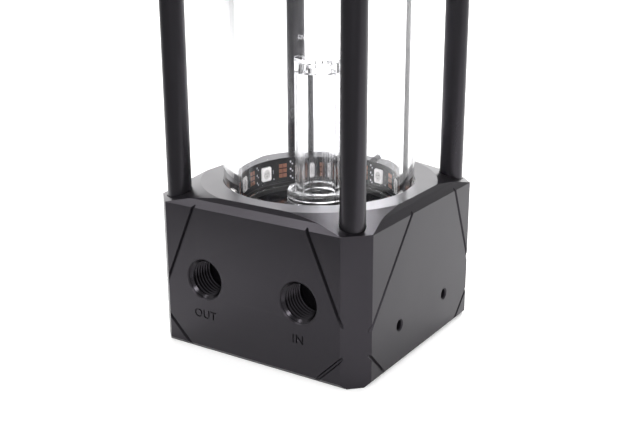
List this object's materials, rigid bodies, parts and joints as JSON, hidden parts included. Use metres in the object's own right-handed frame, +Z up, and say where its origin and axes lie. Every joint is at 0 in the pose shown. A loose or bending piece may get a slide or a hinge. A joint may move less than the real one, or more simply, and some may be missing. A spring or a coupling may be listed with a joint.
{
  "type": "coolant pump reservoir",
  "caption": "Clear coolant tank clamped between two chamfered square blocks by corner rods, with a canned pump, ports and a light ring in the base block.",
  "frame": {"origin": "centre of the base block's underside, where the part stands", "axes": "+Z up along the tank, -Y out of the face with the two ports, +X out of the face with the two side mounting holes"},
  "size_m": [0.08, 0.08, 0.2126],
  "materials": {
    "block_plastic": "satin black machined acetal",
    "clear_glass": "clear polished",
    "black_rubber": "matt",
    "grey_rubber": "matt",
    "black_rod": "black anodised satin",
    "dark_steel": "black oxide",
    "bright_steel": "plain",
    "insert_plastic": "gloss black",
    "clear_plastic": "clear polished acrylic",
    "strip_film": "black flexible circuit film",
    "light_body": "white",
    "pump_plastic": "black glass-filled plastic",
    "ceramic": "white ceramic",
    "lamination_steel": "stacked laminations",
    "winding_copper": "enamelled copper",
    "board_laminate": "green solder resist",
    "chip_plastic": "moulded",
    "pad_rubber": "soft grey-blue pad",
    "plate_metal": "black anodised",
    "impeller_plastic": "natural PPS",
    "magnet_ferrite": "moulded ferrite",
    "bush_carbon": "carbon-filled",
    "plug_plastic": "satin black"
  },
  "bodies": {
    "reservoir": {"base_block": "block_plastic", "top_block": "block_plastic", "glass_tube": "clear_glass", "tube_gasket_lower": "black_rubber", "tube_gasket_upper": "black_rubber", "rod_front_left": "black_rod", "rod_front_right": "black_rod", "rod_rear_left": "black_rod", "rod_rear_right": "black_rod", "rod_screws_lower": "dark_steel", "rod_screws_upper": "dark_steel", "floor_insert": "insert_plastic", "insert_seal": "black_rubber", "riser_tube": "clear_plastic", "riser_seals": "black_rubber", "led_strip": "strip_film", "led_lights": "light_body", "led_lead_grommet": "grey_rubber", "volute_housing": "pump_plastic", "rotor_can": "pump_plastic", "can_seal": "black_rubber", "pump_shaft": "ceramic", "thrust_washer": "ceramic", "motor_frame": "pump_plastic", "stator_core": "lamination_steel", "stator_coils": "winding_copper", "circuit_board": "board_laminate", "board_parts": "chip_plastic", "thermal_pad": "pad_rubber", "bottom_plate": "plate_metal", "plate_screws": "bright_steel", "pump_lead_grommet": "black_rubber"},
    "rotor": {"impeller": "impeller_plastic", "rotor_magnet": "magnet_ferrite", "bearing_bush": "bush_carbon"},
    "plug_carrier": {"fill_plug_seal": "black_rubber"},
    "plug": {"fill_plug": "plug_plastic"}
  },
  "joints": [
    {"name": "impeller_spin", "type": "hinge", "parent": "reservoir", "child": "rotor", "pos_m": [0, 0, 0.0164], "axis": [0, 0, 1], "continuous": true},
    {"name": "fill_plug_lift", "type": "slide", "parent": "reservoir", "child": "plug_carrier", "axis": [0, 0, 1], "range_m": [0, 0.009]},
    {"name": "fill_plug_turn", "type": "hinge", "parent": "plug_carrier", "child": "plug", "pos_m": [0, 0, 0.2094], "axis": [0, 0, 1], "range_deg": [0, 2424]}
  ],
  "couplings": [
    {"joint": "fill_plug_turn", "follows": "fill_plug_lift", "rad_per_m": 4699.5}
  ]
}
